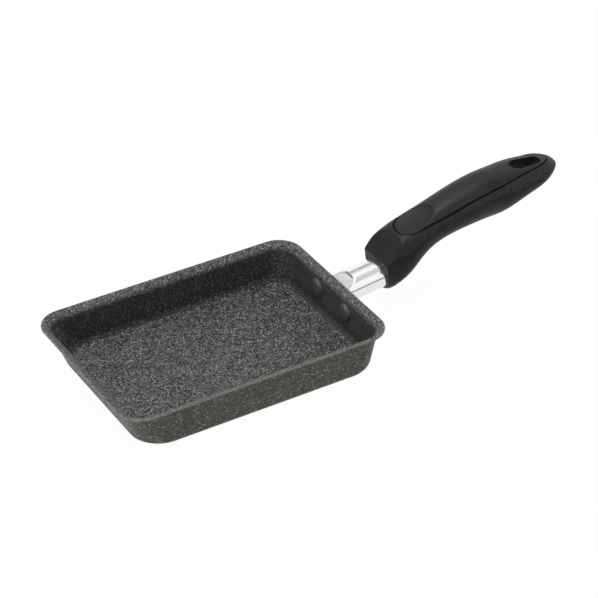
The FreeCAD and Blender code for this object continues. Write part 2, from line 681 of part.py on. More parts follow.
def thumb_form():
    """A flat ellipsoid that scoops the thumb rest out of the inlay, laid along the crest's slope."""
    along, crest, *_ = station("throat")
    before, crest_before, *_ = station("shoulder")
    after, crest_after, *_ = station("waist")
    slope = math.atan2(crest_after - crest_before, after - before)
    depth = size("thumb_depth")
    thick = THUMB_FULLNESS * depth
    share = math.sqrt(1 - ((thick - depth) / thick) ** 2)
    ball = Part.makeSphere(1.0)
    form = ball.transformGeometry(FreeCAD.Matrix(size("thumb_length") / 2 / share, 0, 0, 0,
                                                 0, THUMB_SPREAD * size("thumb_width") / 2 / share, 0, 0,
                                                 0, 0, thick, 0, 0, 0, 0, 1))
    lift = Vector(-math.sin(slope), 0, math.cos(slope)) * (thick - depth)
    turn = FreeCAD.Rotation(Vector(0, -1, 0), math.degrees(slope))
    return form.transformed(FreeCAD.Placement(Vector(along, 0, crest) + lift, turn).toMatrix())


def grip_feature(name, shape):
    """A free form of the grip as a document object, placed at the grip's mouth."""
    item = doc.addObject("Part::Feature", name)
    item.Shape = shape
    mouth = Vector(float(sheet.evalExpression(MOUTH_X)), 0, float(sheet.evalExpression(MOUTH_Z)))
    item.Placement = FreeCAD.Placement(mouth, FreeCAD.Rotation())
    return item


def lowered(shape, drop):
    """A copy of a form moved straight down."""
    copy = shape.copy()
    copy.translate(Vector(0, 0, -drop))
    return copy


def make_grip():
    """The grip's body and its top inlay, cut from one outer form so that they meet flush."""
    blank = grip_blank()
    depth, seam, bed = size("inlay_depth"), size("inlay_seam"), size("inlay_bed")
    start, length = size("hollow_start"), size("hollow_length")
    slot = slot_prism()
    inlay = blank.common(inlay_prism(0.0)).cut(lowered(blank, depth)).cut(slot).cut(thumb_form())
    pocket = blank.common(inlay_prism(seam)).cut(lowered(blank, depth + bed))
    tall = grip_reach()
    span = Part.makeBox(length, 2 * tall, 2 * tall, Vector(start, -tall, -tall))
    hollow = hollow_blank().common(inlay_prism(-size("hollow_ledge"))).common(span)
    body = blank.cut(pocket).cut(hollow).cut(slot)
    socket = neck_bar("grip_socket", "(-Dims.guard_gap)", NECK_START, "Dims.guard_insert")
    way = "(Dims.screw_diameter / 2 + Dims.screw_way_gap)"
    access = "Dims.counterbore / 2"
    far = "(%s + Dims.counterbore_reach)" % SEAT
    screw_way = turned("screw_way", [("0", "0"), ("0", way), (SEAT, way), (SEAT, access),
                                     (far, access), (far, "0")])
    set_neck_frame(screw_way)
    doc.recompute()
    body = combine("Part::Cut", "grip_bored", grip_feature("grip_moulding", body), [socket, screw_way])
    return body, grip_feature("inlay_moulding", inlay)


def check_and_write(nodes):
    """Stops on any failed object or piece, then writes one file for each node."""
    for item in doc.Objects:
        if "Invalid" in item.State or "Error" in item.State:
            raise RuntimeError("%s is %s" % (item.Name, item.State))
    for name, item, count in nodes:
        shape = item.Shape
        if shape.isNull() or not shape.isValid():
            raise RuntimeError(name + " has no valid shape")
        if len(shape.Solids) != count:
            raise RuntimeError("%s has %d solids" % (name, len(shape.Solids)))
    os.makedirs("parts", exist_ok=True)
    for name, item, count in nodes:
        item.Label = name
        item.Shape.exportStep("parts/" + name + ".step")
        print("%s: %.2f cubic centimetres" % (name, item.Shape.Volume / 1000))


handle_body, handle_inlay = make_grip()
check_and_write((
    ("pan_body", make_pan_body(), 1),
    ("pan_rivets", make_pan_rivets(), 2),
    ("handle_bracket", make_handle_bracket(), 1),
    ("flame_guard", make_flame_guard(), 1),
    ("handle_body", handle_body, 1),
    ("handle_inlay", handle_inlay, 1),
    ("handle_screw", make_handle_screw(), 1),
    ("screw_washer", make_screw_washer(), 1),
    ("spring_washer", make_spring_washer(), 1),
))
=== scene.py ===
"""Rolled omelette pan: finished pieces, materials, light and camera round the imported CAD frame.

Metres, +X along the handle, +Z up, origin in the middle of the pan on the surface that it stands on.
"""
import math
from collections import namedtuple

import bmesh
import bpy
from bpy.props import FloatProperty, FloatVectorProperty, IntProperty, PointerProperty
from mathutils import Matrix, Vector


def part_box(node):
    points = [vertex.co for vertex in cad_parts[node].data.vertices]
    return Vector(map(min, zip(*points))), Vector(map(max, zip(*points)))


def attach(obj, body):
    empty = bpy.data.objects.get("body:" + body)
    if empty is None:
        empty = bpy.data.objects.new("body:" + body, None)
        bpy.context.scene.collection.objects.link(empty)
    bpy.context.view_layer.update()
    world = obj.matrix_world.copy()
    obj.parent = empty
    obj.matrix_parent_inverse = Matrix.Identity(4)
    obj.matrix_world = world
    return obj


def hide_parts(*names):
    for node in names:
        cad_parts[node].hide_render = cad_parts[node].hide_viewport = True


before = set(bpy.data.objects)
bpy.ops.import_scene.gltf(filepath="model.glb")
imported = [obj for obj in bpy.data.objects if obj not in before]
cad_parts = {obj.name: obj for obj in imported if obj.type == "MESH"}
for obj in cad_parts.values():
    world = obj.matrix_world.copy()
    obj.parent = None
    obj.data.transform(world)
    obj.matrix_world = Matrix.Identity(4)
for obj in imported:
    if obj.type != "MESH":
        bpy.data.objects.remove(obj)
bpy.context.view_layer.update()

bl_info = {
    "name": "Rolled Omelette Pan",
    "version": (1, 0, 0),
    "blender": (4, 5, 0),
    "location": "View3D > Sidebar > Omelette Pan",
    "description": "Builds the visible pieces of a rolled omelette pan on its CAD frame",
    "category": "Object",
}

PAN_LOW, PAN_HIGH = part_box("pan_body")
BODY = "root"
MM = 0.001
ALONG, ACROSS, UP = 0, 1, 2

# Numbers that the meshes hold for each point, to steer the finishes; the one named worn marks the thumb
# rest's bead for a painted highlight
OUTSIDE, WALL, RIM, RIM_HIGHLIGHT = "outside", "wall", "rim", "worn"

# Start and end of each change in a finish or in painted shade, along one axis
LIP_RISE = (21 * MM, 28 * MM)
WALL_FOOT_SHADE = (4 * MM, 15 * MM)
FAR_WALL = (40 * MM, 56 * MM)
REAR_FLOOR_SHADE = (-10 * MM, 90 * MM)
FRONT_OUTSIDE = (-95 * MM, 20 * MM)
NECK_GAP_SHADE = (104 * MM, 105 * MM)
COLLAR_SHADE = (118 * MM, 205 * MM)

# Sizes of the coating's grain, patches and specks
GRAIN, PATCH = 0.9 * MM, 28 * MM
SALT, FLOOR_SALT = 0.85 * MM, 0.76 * MM
FLOOR_PEPPER, OUTER_PEPPER = 2.0 * MM, 1.8 * MM
PEPPER_SHIFT = (4.0, 6.0, 7.5)
Specks = namedtuple("Specks", "share strength size")

# Angles between faces above which an edge is sharp
SHARP_PRESSED, SHARP_SHEET = math.radians(40), math.radians(50)
SHARP_CAST, SHARP_MOULDED = math.radians(30), math.radians(28)

# Levels of the stage below the pan's base, and where its lights point
CARD_LEVEL, FLOOR_LEVEL = -0.1 * MM, -0.3 * MM
FLOOR_REACH = (-3.0, 3.0)
LIGHT_TARGET = Vector((0.05, 0.0, 0.0))
WHITE = (1.0, 1.0, 1.0, 1.0)

# Places of the colour sockets on a Mix node
MIX_FIRST, MIX_SECOND, MIX_RESULT = 6, 7, 2


def length(name, description, default):
    """A size in metres that the sidebar can change."""
    return FloatProperty(name=name, description=description, default=default, min=0.0, precision=5,
                         subtype="DISTANCE", unit="LENGTH")


def share(name, description, default, top=1.0):
    """A plain number from nothing up to a top value."""
    return FloatProperty(name=name, description=description, default=default, min=0.0, max=top, precision=4)


def number(name, description, default):
    """A number of steps."""
    return IntProperty(name=name, description=description, default=default, min=2, max=64)


def angle(name, description, degrees):
    """An angle, given in degrees."""
    return FloatProperty(name=name, description=description, default=math.radians(degrees),
                         subtype="ANGLE", unit="ROTATION")


def colour(name, description, default):
    """A linear colour."""
    return FloatVectorProperty(name=name, description=description, default=default, size=3,
                               min=0.0, max=1.0, subtype="COLOR")


class PanSizes(bpy.types.PropertyGroup):
    """Sizes of the pressed pan."""
    lip_length: length("Lip length", "Outer length of the lip", PAN_HIGH.x - PAN_LOW.x)
    lip_width: length("Lip width", "Outer width of the lip", PAN_HIGH.y - PAN_LOW.y)
    lip_corner: length("Lip corner", "Corner radius of the lip seen from above", 17.5 * MM)
    height: length("Height", "Height of the lip's outer edge", PAN_HIGH.z)
    lip_flare: length("Lip flare", "Reach of the lip outside the opening", 6.2 * MM)
    lip_rise: length("Lip rise", "Climb of the lip to its outer edge", 3.5 * MM)
    lip_thickness: length("Lip thickness", "Height of the lip's outer edge face", 2.0 * MM)
    lip_land: length("Lip land", "Flat on top of the lip's outer edge", 0.7 * MM)
    lip_round: length("Lip rounding", "Rounding of the lip's outer edge", 0.9 * MM)
    lip_bend: length("Lip bend", "Bend radius between inner wall and lip", 4.0 * MM)
    lip_blend: length("Root bend", "Bend radius between outer wall and lip", 2.2 * MM)
    wall: length("Wall", "Wall thickness", 1.6 * MM)
    floor: length("Floor", "Floor thickness", 2.5 * MM)
    side_draft: share("Side draft", "Inward slope of the long walls", 0.01)
    front_draft: share("Front draft", "Inward slope of the wall away from the handle", 0.35)
    rear_draft: share("Rear draft", "Inward slope of the wall at the handle", 0.075)
    base_round: length("Base rounding", "Outer radius between base and walls", 5.0 * MM)
    floor_round: length("Floor rounding", "Inner radius between floor and walls", 5.2 * MM)
    floor_corner: length("Floor corner", "Corner radius of the floor seen from above", 20.0 * MM)
    corner_steps: number("Corner steps", "Faces round each corner", 16)
    bend_steps: number("Bend steps", "Faces across each bend", 8)
    side_steps: number("Side steps", "Faces along each side", 14)


class NeckSizes(bpy.types.PropertyGroup):
    """Sizes of the rivets and of the flame guard."""
    rivet_pitch: length("Rivet pitch", "Distance between the two rivets", 35.0 * MM)
    rivet_height: length("Rivet height", "Height of the rivets at the inner wall", 18.4 * MM)
    rivet_head: length("Rivet head", "Diameter of the domed head", 13.0 * MM)
    rivet_dome: length("Rivet dome", "Height of the domed head", 2.6 * MM)
    rivet_rim: length("Rivet rim", "Upright edge of the domed head", 0.5 * MM)
    rivet_shank: length("Rivet shank", "Diameter of the shank", 6.0 * MM)
    rivet_tail: length("Rivet tail", "Diameter of the closing head", 10.0 * MM)
    rivet_tail_height: length("Rivet tail height", "Height of the closing head", 1.6 * MM)
    pad: length("Pad", "Thickness of the bracket's pad", 3.0 * MM)
    neck_length: length("Neck length", "Distance from the lip to the grip's mouth", 29.5 * MM)
    neck_drop: length("Neck drop", "Depth of the neck's axis below the lip at the mouth", 3.0 * MM)
    neck_angle: angle("Neck angle", "Climb of the neck's axis", 7.0)
    guard_width: length("Guard width", "Outer width of the flame guard", 22.8 * MM)
    guard_height: length("Guard height", "Outer height of the flame guard", 16.9 * MM)
    guard_fullness: share("Guard fullness", "Fullness of the flame guard's oval, 2 is an ellipse",
                          2.65, 10.0)
    guard_wall: length("Guard wall", "Sheet thickness of the flame guard", 0.6 * MM)
    guard_end: length("Guard end", "How far the flame guard enters the grip", 6.7 * MM)
    guard_slant: angle("Guard slant", "Slant of the flame guard's upper end", 31.0)
    guard_cut: length("Guard cut", "Length of the slant, up to the step at its upper end", 7.6 * MM)
    guard_shelf: length("Guard shelf", "Depth of the slant's foot below the lip", 2.1 * MM)
    lip_clearance: length("Lip clearance", "Space between lip and flame guard", 0.5 * MM)


class GripSizes(bpy.types.PropertyGroup):
    """Small forms of the inlay."""
    seam_groove: length("Seam groove", "How far the inlay's walls are drawn in", 0.45 * MM)
    thumb_bead: length("Thumb bead", "Radius of the bead on the thumb rest's rim", 0.22 * MM)


class Finishes(bpy.types.PropertyGroup):
    """Colours of the finishes."""
    coating_cool: colour("Cool coating", "Ground of the coating inside, cooler patches",
                         (0.081, 0.08, 0.089))
    coating_warm: colour("Warm coating", "Ground of the coating inside, warmer patches",
                         (0.084, 0.0825, 0.079))
    coating_wall: colour("Wall coating", "Ground of the coating on the inner walls", (0.055, 0.06, 0.059))
    # Painted shade: the far inner wall gets a darker ground than the other walls.
    coating_far_shade: colour("Far wall coating", "Ground of the coating on the shaded far wall",
                        (0.044, 0.0435, 0.0435))
    coating_rim: colour("Rim coating", "Ground of the coating on the lip's edge", (0.2, 0.2, 0.18))
    coating_outside: colour("Outer coating", "Ground of the coating outside", (0.088, 0.091, 0.073))
    pale_speck: colour("Pale specks", "Light specks in the coating", (0.58, 0.57, 0.55))
    dark_speck: colour("Dark specks", "Black specks in the coating", (0.002, 0.002, 0.002))
    rivet: colour("Rivets", "Dark satin rivets", (0.06, 0.062, 0.066))
    casting: colour("Casting", "Bare cast bracket", (0.62, 0.61, 0.6))
    polish: colour("Polish", "Polished flame guard", (0.93, 0.93, 0.935))
    grip: colour("Grip", "Black grip", (0.0175, 0.0178, 0.0172))
    inlay: colour("Inlay", "Black top inlay", (0.0135, 0.0142, 0.0145))
    steel: colour("Fasteners", "Plated fasteners", (0.55, 0.55, 0.56))


class StageSettings(bpy.types.PropertyGroup):
    """Camera and light."""
    azimuth: angle("Azimuth", "Turn of the camera round the pan", -31.18)
    elevation: angle("Elevation", "Height of the camera", 34.40)
    distance: length("Distance", "Distance from camera to target", 1.60577)
    target: FloatVectorProperty(name="Target", description="Point in the picture's middle", size=3,
                                subtype="XYZ", default=(0.07108, 0.00976, 0.020))
    lens: FloatProperty(name="Lens", description="Focal length on a 36 mm sensor", default=145.44, min=1.0)
    ambient: share("Ambient", "Light from all round", 0.22, 10.0)
    key_power: share("Key light", "Power of the large overhead light in watts", 16.0, 500.0)
    fill_power: share("Fill light", "Power of the low side light in watts", 2.3, 500.0)
    front_power: share("Front light", "Power of the light in front in watts", 0.8, 500.0)


class Signal:
    """A shader socket that takes part in Python expressions."""

    def __init__(self, finish, socket):
        self.finish = finish
        self.socket = socket

    def math(self, operation, other, swapped=False, clamp=False):
        """This signal and another signal or number, put together by one operation."""
        pair = {0: other, 1: self} if swapped else {0: self, 1: other}
        return self.finish.node("ShaderNodeMath", {"operation": operation, "use_clamp": clamp}, pair)

    def __add__(self, other):
        return self.math("ADD", other)

    __radd__ = __add__

    def __sub__(self, other):
        return self.math("SUBTRACT", other)

    def __rsub__(self, other):
        return self.math("SUBTRACT", other, swapped=True)

    def __mul__(self, other):
        return self.math("MULTIPLY", other)

    __rmul__ = __mul__

    def __gt__(self, other):
        return self.math("GREATER_THAN", other)

    def __lt__(self, other):
        return self.math("LESS_THAN", other)

    def clamped(self):
        """The signal kept between 0 and 1."""
        return self.math("ADD", 0.0, clamp=True)

    def step(self, low, high):
        """Rises smoothly from 0 at low to 1 at high, or falls where low is the larger."""
        return self.finish.node("ShaderNodeMapRange", {"interpolation_type": "SMOOTHSTEP"},
                                {"Value": self, "From Min": low, "From Max": high})


class Finish:
    """The nodes of a material or of the world, added by expressions."""

    def __init__(self, owner):
        self.owner = owner
        owner.use_nodes = True
        self.tree = owner.node_tree
        self.tree.nodes.clear()

    def node(self, kind, settings, values, output=0):
        """Adds a node of a kind, sets its settings, then its sockets' values or links."""
        item = self.tree.nodes.new(kind)
        for key, value in settings.items():
            setattr(item, key, value)
        for key, value in values.items():
            socket = item.inputs[key]
            if isinstance(value, Signal):
                self.tree.links.new(value.socket, socket)
            else:
                socket.default_value = value
        return None if output is None else Signal(self, item.outputs[output])

    def also(self, signal, output):
        """Another output of the node that gave a signal."""
        return Signal(self, signal.socket.node.outputs[output])

    def scaled(self, factor, shift=(0.0, 0.0, 0.0)):
        """Object coordinates times a factor for each axis."""
        places = self.node("ShaderNodeTexCoord", {}, {}, "Object")
        return self.node("ShaderNodeMapping", {}, {"Vector": places, "Scale": factor, "Location": shift})

    def along(self, axis):
        """Object coordinate along one axis."""
        places = self.node("ShaderNodeTexCoord", {}, {}, "Object")
        return self.node("ShaderNodeSeparateXYZ", {}, {"Vector": places}, axis)

    def stored(self, name):
        """A number that the mesh holds for each point."""
        return self.node("ShaderNodeAttribute", {"attribute_name": name}, {}, "Fac")

    def noise(self, size, detail=2.0, roughness=0.5, stretch=(1.0, 1.0, 1.0)):
        """Noise whose main features are about one size wide."""
        places = self.scaled([item / size for item in stretch])
        return self.node("ShaderNodeTexNoise", {}, {"Vector": places, "Scale": 1.0, "Detail": detail,
                                                     "Roughness": roughness})

    def cells(self, size, kind="3D", shift=(0.0, 0.0, 0.0)):
        """Random cells of a size: distance from the cell's middle in cells, and two random numbers."""
        places = self.scaled((1.0 / size,) * 3, shift)
        drift = self.node("ShaderNodeTexNoise", {}, {"Vector": places, "Scale": 1.7, "Detail": 0.0},
                          "Color")
        reach = (0.3, 0.3, 0.3)
        places = self.node("ShaderNodeVectorMath", {"operation": "MULTIPLY_ADD"},
                           {0: drift, 1: reach, 2: places})
        near = self.node("ShaderNodeTexVoronoi", {"feature": "F1", "voronoi_dimensions": kind},
                         {"Vector": places, "Scale": 1.0}, "Distance")
        chance = self.node("ShaderNodeSeparateColor", {}, {"Color": self.also(near, "Color")})
        return near, chance, self.also(chance, 1)

    def mix(self, factor, first, second, blend="MIX"):
        """A colour between two colours, or of both together."""
        values = {"Factor": factor, MIX_FIRST: first, MIX_SECOND: second}
        for key in (MIX_FIRST, MIX_SECOND):
            if not isinstance(values[key], Signal):
                values[key] = (*values[key], 1.0)
        return self.node("ShaderNodeMix", {"data_type": "RGBA", "blend_type": blend}, values, MIX_RESULT)

    def toned(self, shade, tone):
        """A colour times a varying brightness."""
        return self.mix(1.0, shade, tone, "MULTIPLY")

    def bump(self, height, distance, strength):
        """Normals bent by a height."""
        return self.node("ShaderNodeBump", {},
                         {"Height": height, "Distance": distance, "Strength": strength})

    def close(self, shader, kind="ShaderNodeOutputMaterial"):
        """Joins a shader to the output and gives what the nodes belong to."""
        self.node(kind, {}, {"Surface": shader}, None)
        return self.owner

    def surface(self, values):
        """Ends a material in a principled shader."""
        return self.close(self.node("ShaderNodeBsdfPrincipled", {}, values))


def new_finish(name):
    """An empty material to work on."""
    return Finish(bpy.data.materials.new(name))


def speckled(work, ground, cells, dark, pale):
    """Specks on a ground, one in each chosen cell and sized in cells; pale ones differ in strength."""
    looks = bpy.context.scene.finishes
    solid = 0.75
    near, first, second = cells
    speck = near.step(dark.size, dark.size * solid) * (first < dark.share) * dark.strength
    ground = work.mix(speck, ground, looks.dark_speck)
    speck = near.step(pale.size, pale.size * solid) * (first > 1 - pale.share) * (second * 0.7 + 0.3)
    return work.mix(speck * pale.strength, ground, looks.pale_speck)


def inner_coating(work, tone, salt):
    """Colour inside: salt and pepper on floor and lip, darker quiet walls, a pale edge of the lip, with
    painted shade on the far wall, at the walls' foot and on the floor towards the rear wall.
    """
    looks = bpy.context.scene.finishes
    wall, rim = work.stored(WALL), work.stored(RIM)
    lip, far = work.along(UP).step(*LIP_RISE), work.along(ACROSS).step(*FAR_WALL)
    flat = (1 - wall.step(0.2, 1.0)) * (1 - lip)
    edge = (1 - wall) * lip * (1 - rim * 0.6)
    # Painted shade: darker at the foot of the inner walls and on the floor towards the rear wall.
    foot = (1 - work.along(UP).step(*WALL_FOOT_SHADE)) * wall
    rear = work.along(ALONG).step(*REAR_FLOOR_SHADE) * (1 - lip) * (1 - wall)
    shade = (1 - rear * 0.3) * (1 - foot * 0.35) * (edge * 0.14 + 1)
    patch = work.noise(PATCH, 1.0).step(0.38, 0.62)
    floor = work.mix(patch, looks.coating_cool, looks.coating_warm)
    # Painted shade: the far wall's darker ground is mixed in here.
    walls = work.mix(far, looks.coating_wall, looks.coating_far_shade)
    inner = work.mix(rim, work.mix(wall, floor, walls), looks.coating_rim)
    inner = work.toned(inner, tone * shade)
    inner = speckled(work, inner, work.cells(FLOOR_SALT, "2D"),
                     Specks(0.35, flat, 0.62), Specks(0.2, flat * 0.68, 0.56))
    inner = speckled(work, inner, work.cells(FLOOR_PEPPER, "2D", PEPPER_SHIFT),
                     Specks(0.15, flat, 0.42), Specks(0.07, flat * 0.5, 0.34))
    return speckled(work, inner, salt, Specks(0.32, edge + wall * 0.84, 0.58),
                    Specks(0.22, edge * 0.75 + wall * (far * 0.252 + 0.105), 0.55))


def outer_coating(work, tone, salt):
    """Colour outside: an olive ground, darker towards the front, with sparse pale specks."""
    looks = bpy.context.scene.finishes
    shade = work.along(ALONG).step(*FRONT_OUTSIDE) * 0.18 + 0.84
    outer = work.toned(looks.coating_outside, tone * shade)
    outer = speckled(work, outer, salt, Specks(0.3, 0.65, 0.7), Specks(0.22, 0.25, 0.65))
    pepper = work.cells(OUTER_PEPPER, "3D", PEPPER_SHIFT)
    return speckled(work, outer, pepper, Specks(0.05, 0.7, 0.5), Specks(0.23, 0.85, 0.39))


def coating_material():
    """Dark speckled non-stick coating."""
    work = new_finish("speckled_coating")
    grain = work.noise(GRAIN, 2.0, 0.6)
    tone, salt = grain + 0.5, work.cells(SALT)
    inner, outer = inner_coating(work, tone, salt), outer_coating(work, tone, salt)
    shade = work.mix(work.stored(OUTSIDE), inner, outer)
    return work.surface({"Base Color": shade, "Roughness": grain * 0.2 + 0.4, "Specular IOR Level": 0.22,
                         "Normal": work.bump(work.noise(0.7 * MM, 2.0), 0.05 * MM, 0.6)})


def plastic_material(name, shade, rough):
    """Black moulded plastic with a satin grain, darker towards the collar as painted shade, and lighter on
    the thumb rest's bead as a painted highlight.
    """
    work = new_finish(name)
    grain = work.noise(1.1 * MM, 1.0).step(0.3, 0.7)
    cloud = work.noise(14 * MM, 2.0)
    # Painted shade: the plastic is darker towards the collar.
    rearward = work.along(ALONG).step(*COLLAR_SHADE)
    # The number stored on the thumb rest's bead lightens the plastic there as a painted highlight.
    tone = (cloud * 0.5 + grain * 0.9 + work.stored(RIM_HIGHLIGHT) * 3.0 + 0.3) * (rearward * 0.55 + 0.6)
    return work.surface({"Base Color": work.toned(shade, tone),
                         "Roughness": cloud * 0.1 + grain * 0.06 + rough, "Specular IOR Level": 0.2,
                         "Normal": work.bump(grain, 0.05 * MM, 0.6)})


def rivet_material():
    """Dark satin coating on the rivets, a little worn."""
    looks = bpy.context.scene.finishes
    work = new_finish("rivet_satin")
    grain = work.noise(0.5 * MM, 2.0)
    return work.surface({"Base Color": work.toned(looks.rivet, grain * 0.6 + 0.7),
                         "Roughness": grain * 0.12 + 0.3, "Normal": work.bump(grain, 0.02 * MM, 0.4)})


def casting_material():
    """Bare die-cast metal, matte and slightly grainy, with painted shade in the gap under the flame guard's
    step.
    """
    looks = bpy.context.scene.finishes
    work = new_finish("bare_casting")
    grain = work.noise(0.6 * MM, 3.0)
    cloud = work.noise(5 * MM, 2.0)
    # Painted shade: a dark band where the bracket runs under the flame guard's step.
    gap = work.along(ALONG).step(*NECK_GAP_SHADE)
    tone = (grain * 0.16 + cloud * 0.2 + 0.78) * (1 - gap * 0.9)
    return work.surface({"Base Color": work.toned(looks.casting, tone), "Metallic": 0.35,
                         "Roughness": grain * 0.15 + 0.5, "Normal": work.bump(grain, 0.03 * MM, 0.5)})


def polish_material():
    """Polished sheet steel with faint lines along the neck."""
    looks = bpy.context.scene.finishes
    work = new_finish("polished_steel")
    lines = work.noise(0.25 * MM, 2.0, 0.5, (0.03, 1.0, 1.0))
    return work.surface({"Base Color": work.toned(looks.polish, lines * 0.06 + 0.96), "Metallic": 1.0,
                         "Roughness": lines * 0.06 + 0.15, "Normal": work.bump(lines, 0.002 * MM, 0.3)})


def fastener_material():
    """Zinc-plated steel with a slight cloudiness."""
    looks = bpy.context.scene.finishes
    work = new_finish("plated_steel")
    cloud = work.noise(1.2 * MM, 3.0)
    return work.surface({"Base Color": work.toned(looks.steel, cloud * 0.3 + 0.85), "Metallic": 1.0,
                         "Roughness": cloud * 0.2 + 0.25})


def add_object(name, mesh, material):
    """A new object at the origin with one material."""
    mesh.materials.clear()
    mesh.materials.append(material)
    item = bpy.data.objects.new(name, mesh)
    bpy.context.scene.collection.objects.link(item)
    return item


def settle(item, slot, *nodes):
    """Makes a finished piece ride on the frame in place of CAD nodes."""
    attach(item, BODY)
    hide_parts(*nodes)


def mark_sharp(work, limit):
    """Smooth faces, with a sharp edge wherever two faces meet at more than a limit."""
    for face in work.faces:
        face.smooth = True
    for edge in work.edges:
        edge.smooth = not (edge.is_manifold and edge.calc_face_angle(0.0) > limit)


def turns(steps):
    """Angles of equal steps once round."""
    return [2 * math.pi * index / steps for index in range(steps)]


def bridge(work, first, second):
    """Faces between two rings of points; a ring of one point is a tip."""
    count = max(len(first), len(second))
    faces = []
    for index in range(count):
        after = (index + 1) % count
        places = (first, index), (first, after), (second, after), (second, index)
        corners = [ring[place % len(ring)] for ring, place in places]
        faces.append(work.faces.new(tuple(dict.fromkeys(corners))))
    return faces


def skin(work, rings, ends):
    """Joins rings in order, then caps the first and last or joins these too; gives the side faces."""
    following = rings[1:] + rings[:1] if ends == "joined" else rings[1:]
    faces = [face for first, second in zip(rings, following) for face in bridge(work, first, second)]
    if ends == "capped":
        work.faces.new(rings[0][::-1])
        work.faces.new(rings[-1])
    return faces


def mesh_from_rows(name, rows, ends, limit):
    """A smooth mesh on rings of points, with its ends capped, joined or drawn to tips."""
    work = bmesh.new()
    skin(work, [[work.verts.new(point) for point in row] for row in rows], ends)
    bmesh.ops.recalc_face_normals(work, faces=work.faces)
    mark_sharp(work, limit)
    mesh = bpy.data.meshes.new(name)
    work.to_mesh(mesh)
    work.free()
    return mesh


def cad_mesh(node, name, limit):
    """A merged copy of a CAD node's mesh with smooth shading."""
    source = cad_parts[node].data
    mesh = bpy.data.meshes.new(name)
    points = [item.co[:] for item in source.vertices]
    mesh.from_pydata(points, [], [item.vertices[:] for item in source.polygons])
    work = bmesh.new()
    work.from_mesh(mesh)
    bmesh.ops.remove_doubles(work, verts=work.verts, dist=0.002 * MM)
    mark_sharp(work, limit)
    work.to_mesh(mesh)
    work.free()
    return mesh


def chains(edges):
    """Joins edges that meet into lines of points."""
    links = {}
    for edge in edges:
        for vert in edge.verts:
            links.setdefault(vert, []).append(edge.other_vert(vert))
    lines, left = [], set(links)
    while left:
        ends = [vert for vert in left if len(links[vert]) == 1]
        line = [min(ends or left, key=lambda vert: vert.index)]
        left.discard(line[0])
        while after := [vert for vert in links[line[-1]] if vert in left]:
            line.append(min(after, key=lambda vert: vert.index))
            left.discard(line[-1])
        lines.append([vert.co.copy() for vert in line])
    return lines


def add_bead(work, line, radius, sides=8):
    """A thin round bead along a line of points; gives its points."""
    rings = []
    for index, point in enumerate(line):
        way = line[min(index + 1, len(line) - 1)] - line[max(index - 1, 0)]
        side = way.cross(Vector((0.0, 0.0, 1.0))).normalized()
        up = side.cross(way).normalized()
        rings.append([work.verts.new(point + (side * math.cos(turn) + up * math.sin(turn)) * radius)
                      for turn in turns(sides)])
    for face in skin(work, rings, "capped"):
        face.smooth = True
    return [vert for ring in rings for vert in ring]


def ease_inlay(mesh, sizes):
    """Draws the inlay's walls in, so that a groove rings it, and lays a bead on the thumb rest's rim."""
    upright, end_round, least_reach = 0.5, 10 * MM, 1.0 * MM
    least_bend, most_bend, least_points = math.radians(16), math.radians(40), 6
    work = bmesh.new()
    work.from_mesh(mesh)
    places = [vert.co.x for vert in work.verts]
    low, high = min(places) + end_round, max(places) - end_round
    moves = {}
    for vert in work.verts:
        way = sum((face.normal for face in vert.link_faces if abs(face.normal.z) < upright), Vector())
        out = Vector((vert.co.x - min(max(vert.co.x, low), high), vert.co.y, 0.0))
        if way.length > 0.0 and out.dot(way.normalized()) > least_reach:
            moves[vert] = way.normalized() * -sizes.seam_groove
    rim = [edge for edge in work.edges if len(edge.link_faces) == 2
           and least_bend < edge.calc_face_angle_signed() < most_bend
           and min(face.normal.z for face in edge.link_faces) > upright]
    lines = chains(rim)
    for vert, move in moves.items():
        vert.co += move
    # Marks the bead's points for a painted highlight in the plastic's colour.
    worn = work.verts.layers.float.new(RIM_HIGHLIGHT)
    for line in lines:
        if len(line) > least_points:
            for vert in add_bead(work, line, sizes.thumb_bead):
                vert[worn] = 1.0
    bmesh.ops.recalc_face_normals(work, faces=work.faces)
    work.to_mesh(mesh)
    work.free()


def rounded_line(corners, steps):
    """A bent line through corners (distance, height, radius), each rounded by its radius."""
    points = [Vector(corners[0][:2])]
    for before, here, after in zip(corners, corners[1:], corners[2:]):
        middle, radius = Vector(here[:2]), here[2]
        back = (Vector(before[:2]) - middle).normalized()
        on = (Vector(after[:2]) - middle).normalized()
        half = back.angle(on) / 2
        reach = radius / math.tan(half)
        centre = middle + (back + on).normalized() * (radius / math.sin(half))
        start, end = middle + back * reach - centre, middle + on * reach - centre
        turn = start.angle_signed(end)
        for index in range(steps + 1):
            way = Matrix.Rotation(-turn * index / steps, 2)
            points.append(centre + way @ start)
    points.append(Vector(corners[-1][:2]))
    return points


